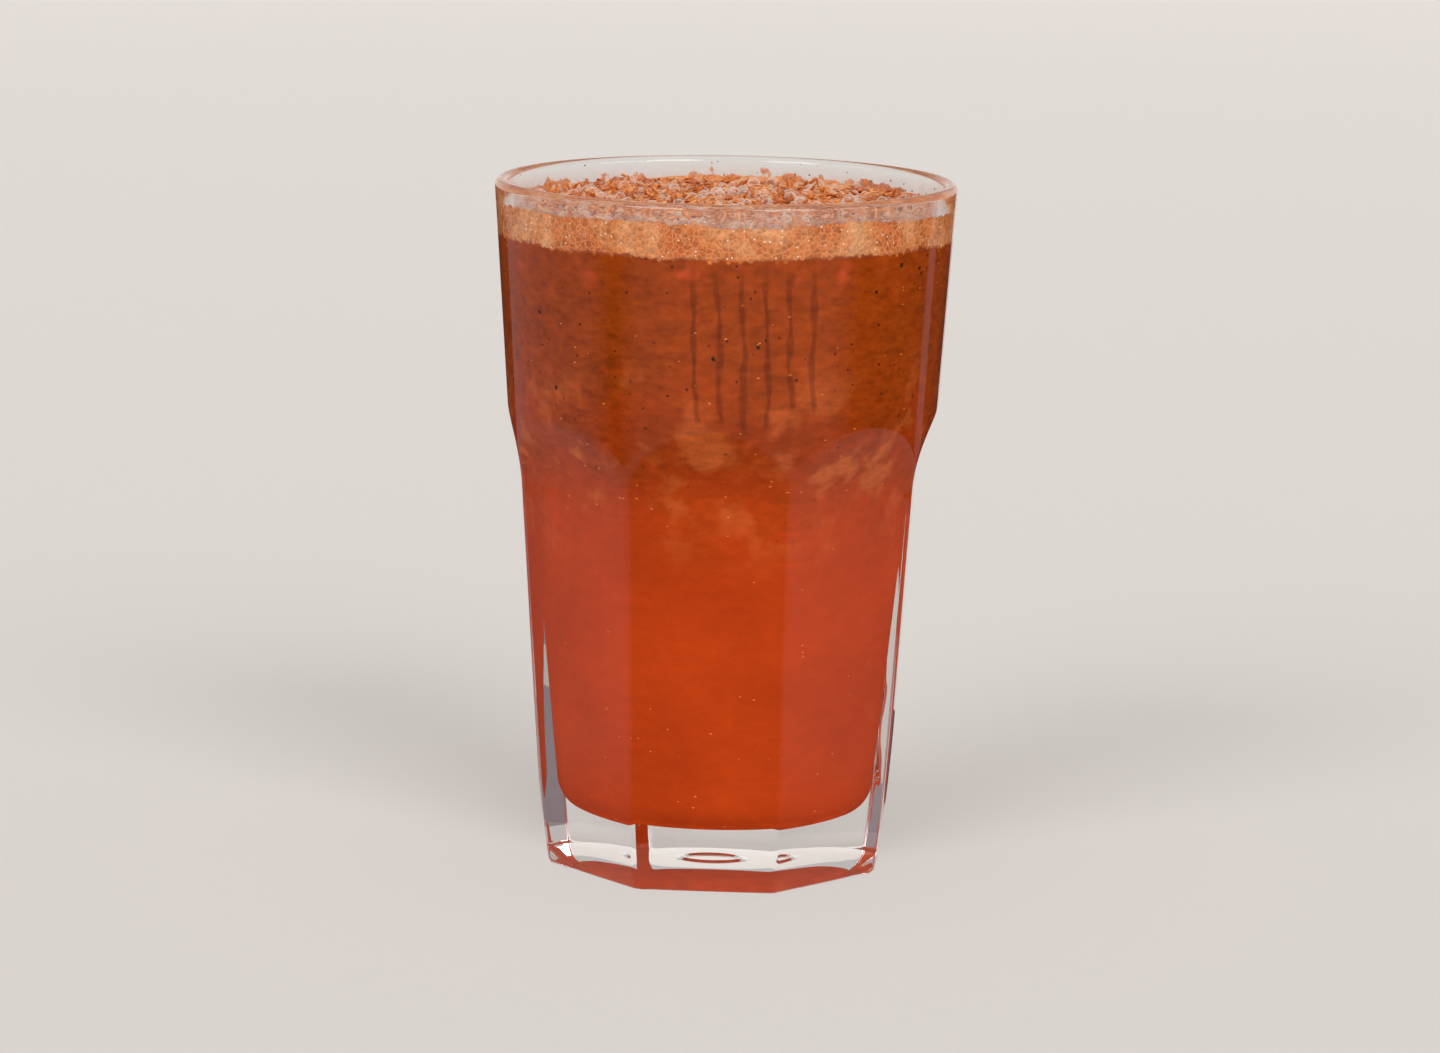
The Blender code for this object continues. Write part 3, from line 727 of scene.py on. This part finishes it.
film = bpy.data.materials.new("bubble film")
film.use_nodes = True
tree = film.node_tree
shader = tree.nodes["Principled BSDF"]
shader.inputs["Base Color"].default_value = (0.95, 0.90, 0.84, 1.0)
shader.inputs["Roughness"].default_value = 0.05
facing = add_node(tree, "ShaderNodeLayerWeight", Blend=0.5)
tree.links.new(remap(tree, facing.outputs["Facing"], 0.3, 1.0, 0.08, 0.80), shader.inputs["Alpha"])
bubbles.data.materials.append(film)
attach(bubbles, "root")

# The wall above the froth is dulled by a film that the drink left as it was poured, thickest low down,
# with tiny specks of skin stuck in it and bits of froth that cling to its lower part.
FILM_LOW = 0.1206
FILM_HIGH = 0.1240
CLING_HIGH = 0.1232
FILM_CLEAR = 0.00003
FILM_THICK = 0.00008
FILM_COLOUR = (0.66, 0.50, 0.42, 1.0)
SKIN_SPECK = (0.12, 0.05, 0.02, 1.0)
SKIN_SPECKS = (700.0, 0.00022, 0.35)


def film_side(clear, levels):
    """One side of the film, at a distance from the wall."""
    return [(cavity_radius(z) - clear, z) for z in levels]


film_levels = spread(FILM_LOW, FILM_HIGH, 4)
section = film_side(FILM_CLEAR, film_levels) + film_side(FILM_CLEAR + FILM_THICK, film_levels[::-1])
dried = draw_section("dried_film", section + section[:1])
spin_section(DRINK_TURNS)
residue = bpy.data.materials.new("dried juice film")
residue.use_nodes = True
tree = residue.node_tree
shader = tree.nodes["Principled BSDF"]
shader.inputs["Roughness"].default_value = 0.45
where = add_node(tree, "ShaderNodeTexCoord").outputs["Object"]
split = add_node(tree, "ShaderNodeSeparateXYZ")
tree.links.new(where, split.inputs[0])
specks = picked_cells(tree, where, *SKIN_SPECKS)
foam = add_node(tree, "ShaderNodeGroup", node_tree=foaming)
smears = textured(tree, "ShaderNodeTexNoise", where, Scale=160.0, Detail=4.0)
patchy = textured(tree, "ShaderNodeTexNoise", where, Scale=230.0, Detail=3.0)
needed = remap(tree, split.outputs["Z"], FILM_LOW, CLING_HIGH, 0.44, 0.70)
clinging = remap(tree, combine(tree, "SUBTRACT", patchy.outputs["Fac"], needed), 0.0, 0.05, 0.0, 0.85)
# The clinging bits take the foam's colour, with its painted glints.
colour = blend(tree, clinging, FILM_COLOUR, foam.outputs["Colour"])
tree.links.new(blend(tree, specks, colour, SKIN_SPECK), shader.inputs["Base Color"])
thin = combine(tree, "MULTIPLY", remap(tree, smears.outputs["Fac"], 0.3, 0.7, 0.5, 1.0),
               remap(tree, split.outputs["Z"], FILM_LOW, FILM_HIGH, 0.36, 0.0))
cover = combine(tree, "MAXIMUM", combine(tree, "MAXIMUM", thin, clinging), specks)
tree.links.new(cover, shader.inputs["Alpha"])
dried.data.materials.append(residue)
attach(dried, "root")

# The table is a plain pale sheet, curved up all round far behind the glass. The foot stands a hair
# above it, as glass on stone does.
TABLE_RADIUS = 2.4
TABLE_CURVE = 0.9
TABLE_TOP = 1.3
UNDER_FOOT = 0.00005
sweep = arc(TABLE_RADIUS, TABLE_CURVE - UNDER_FOOT, TABLE_CURVE, TABLE_CURVE, -90, 0, 24)
table = draw_section("table", [(0.0, -UNDER_FOOT)] + sweep + [(TABLE_RADIUS + TABLE_CURVE, TABLE_TOP)])
spin_section(96)


def plain_material(name, colour, roughness):
    """A dull material of one colour."""
    made = bpy.data.materials.new(name)
    made.use_nodes = True
    made.node_tree.nodes["Principled BSDF"].inputs["Base Color"].default_value = colour
    made.node_tree.nodes["Principled BSDF"].inputs["Roughness"].default_value = roughness
    made.node_tree.nodes["Principled BSDF"].inputs["Specular IOR Level"].default_value = 0.0
    return made


table.data.materials.append(plain_material("pale stone", (0.80, 0.765, 0.735, 1.0), 0.55))

# Flat cards stand in for the surroundings, and only the glass shows them. Two lie round it for its mirror
# image: they give the soft veil on the front wall and the flats, parted by dark fields in the far one.
# Two that stand up are seen only through the glass, and darken the strips at the ends of its base.
CARD_HEIGHT = 0.0005
NEAR_REACH = (0.050, 0.295)
FAR_REACH = (0.295, 1.400)
FAR_DARK = ((-166, -165, -139, -137), (-66, -54, -50, -38), (58, 74, 125, 127), (134, 135, 166, 167))
CARD_TURNS = (-165, 165)
FRONT_DARK = (0.02, 0.10)
FRONT_SHADE = 0.22
LEFT_END = ((-45, 2), [(1.5, 0.21), (1.5, 0.75)])
RIGHT_END = ((75, 112), [(1.2, 0.50), (1.2, 1.40)])
GREY = (0.35, 0.325, 0.36, 1.0)
FAR_GREY = (0.25, 0.24, 0.275, 1.0)
FIELD = (0.02, 0.02, 0.02, 1.0)
CARD_ROUGHNESS = 0.9


def card_material(name):
    """A dull grey card, with the node tree and the outputs of a place on it split by axis."""
    made = plain_material(name, GREY, CARD_ROUGHNESS)
    tree = made.node_tree
    split = add_node(tree, "ShaderNodeSeparateXYZ")
    tree.links.new(add_node(tree, "ShaderNodeTexCoord").outputs["Object"], split.inputs[0])
    return made, tree, split.outputs


def lay_card(turns, edges, material, glossy):
    """A piece of a ring round the glass between two turns in degrees, hidden from the camera."""
    card = draw_section("card", edges)
    bpy.ops.mesh.select_all(action="SELECT")
    bpy.ops.mesh.spin(steps=24, angle=math.radians(turns[1] - turns[0]), center=(0, 0, 0), axis=(0, 0, 1))
    bpy.ops.object.mode_set(mode="OBJECT")
    card.data.transform(Matrix.Rotation(math.radians(turns[1] - 90), 4, "Z"))
    card.data.materials.append(material)
    card.visible_camera = False
    card.visible_diffuse = False
    card.visible_glossy = glossy
    card.visible_transmission = not glossy
    card.visible_shadow = False


near_card, tree, across = card_material("grey card, darker in front")
aside = combine(tree, "ABSOLUTE", across["X"], 0.0)
aside = remap(tree, aside, *FRONT_DARK, FRONT_SHADE, 1.0, "SMOOTHSTEP")
shaded = blend(tree, aside, (0.0, 0.0, 0.0, 1.0), GREY)
tree.links.new(shaded, tree.nodes["Principled BSDF"].inputs["Base Color"])
far_card, tree, across = card_material("grey card with dark fields")
turn = combine(tree, "ARCTAN2", across["X"], combine(tree, "MULTIPLY", across["Y"], -1.0))
turn = combine(tree, "DEGREES", turn, 0.0)
dark = None
for low, low_full, high_full, high in FAR_DARK:
    field = combine(tree, "MULTIPLY", remap(tree, turn, low, low_full), remap(tree, turn, high, high_full))
    dark = combine(tree, "ADD", dark, field) if dark else field
tree.links.new(blend(tree, dark, FAR_GREY, FIELD), tree.nodes["Principled BSDF"].inputs["Base Color"])
lay_card(CARD_TURNS, [(reach, CARD_HEIGHT) for reach in NEAR_REACH], near_card, True)
lay_card(CARD_TURNS, [(reach, CARD_HEIGHT) for reach in FAR_REACH], far_card, True)
end_card = plain_material("grey end card", GREY, CARD_ROUGHNESS)
for turns, edges in (LEFT_END, RIGHT_END):
    lay_card(turns, edges, end_card, False)

# The light is soft: a pale sky over the table, a lamp overhead, and one on each side in front, whose two
# shadows fall softly behind the glass. Two low lamps at the sides light the glass and the drink alone.
sky =bpy.data.worlds.new("pale sky")
bpy.context.scene.world = sky
sky.use_nodes = True
sky.node_tree.nodes["Background"].inputs["Color"].default_value = (1.0, 0.985, 0.97, 1.0)
sky.node_tree.nodes["Background"].inputs["Strength"].default_value = 0.50


def add_lamp(name, turn, rise, softness, strength):
    """A distant soft lamp that shines on the glass from a turn round it and a rise, in degrees."""
    bpy.ops.object.select_all(action="DESELECT")
    bpy.ops.object.light_add(type="SUN", location=(0, 0, 1))
    lamp = bpy.context.object
    lamp.name = name
    lamp.data.energy = strength
    lamp.data.angle = math.radians(softness)
    lamp.rotation_euler = (math.radians(90 - rise), 0, math.radians(turn))
    return lamp


add_lamp("overhead lamp", 0, 80, 60, 0.25)
add_lamp("left lamp", -35, 32, 30, 0.86)
add_lamp("right lamp", 35, 32, 30, 1.00)
sides = bpy.data.collections.new("lit from both sides")
for piece in (tumbler, juice, pulp_layer, froth, shreds, bubbles, dried):
    sides.objects.link(piece)
add_lamp("low left lamp", -70, 12, 40, 0.50).light_linking.receiver_collection = sides
add_lamp("low right lamp", 65, 12, 40, 1.30).light_linking.receiver_collection = sides

# The camera looks slightly down on the glass, a little from the right of its front flat.
VIEW_TURN = math.radians(3.746)
VIEW_AWAY = 0.8489
VIEW_HEIGHT = 0.2186
VIEW_HEADING = math.radians(3.756)
VIEW_DOWN = math.radians(10.507)
VIEW_ROLL = math.radians(0.922)
spot = (VIEW_AWAY * math.sin(VIEW_TURN), -VIEW_AWAY * math.cos(VIEW_TURN), VIEW_HEIGHT)
bpy.ops.object.camera_add(location=spot)
camera = bpy.context.object
camera.data.lens = 117.98
camera.data.sensor_width = 36.0
aim = Matrix.Rotation(VIEW_HEADING, 4, "Z") @ Matrix.Rotation(math.pi / 2 - VIEW_DOWN, 4, "X")
camera.matrix_world = Matrix.Translation(spot) @ aim @ Matrix.Rotation(VIEW_ROLL, 4, "Z")
bpy.context.scene.camera = camera
bpy.context.scene.view_settings.view_transform = "Standard"
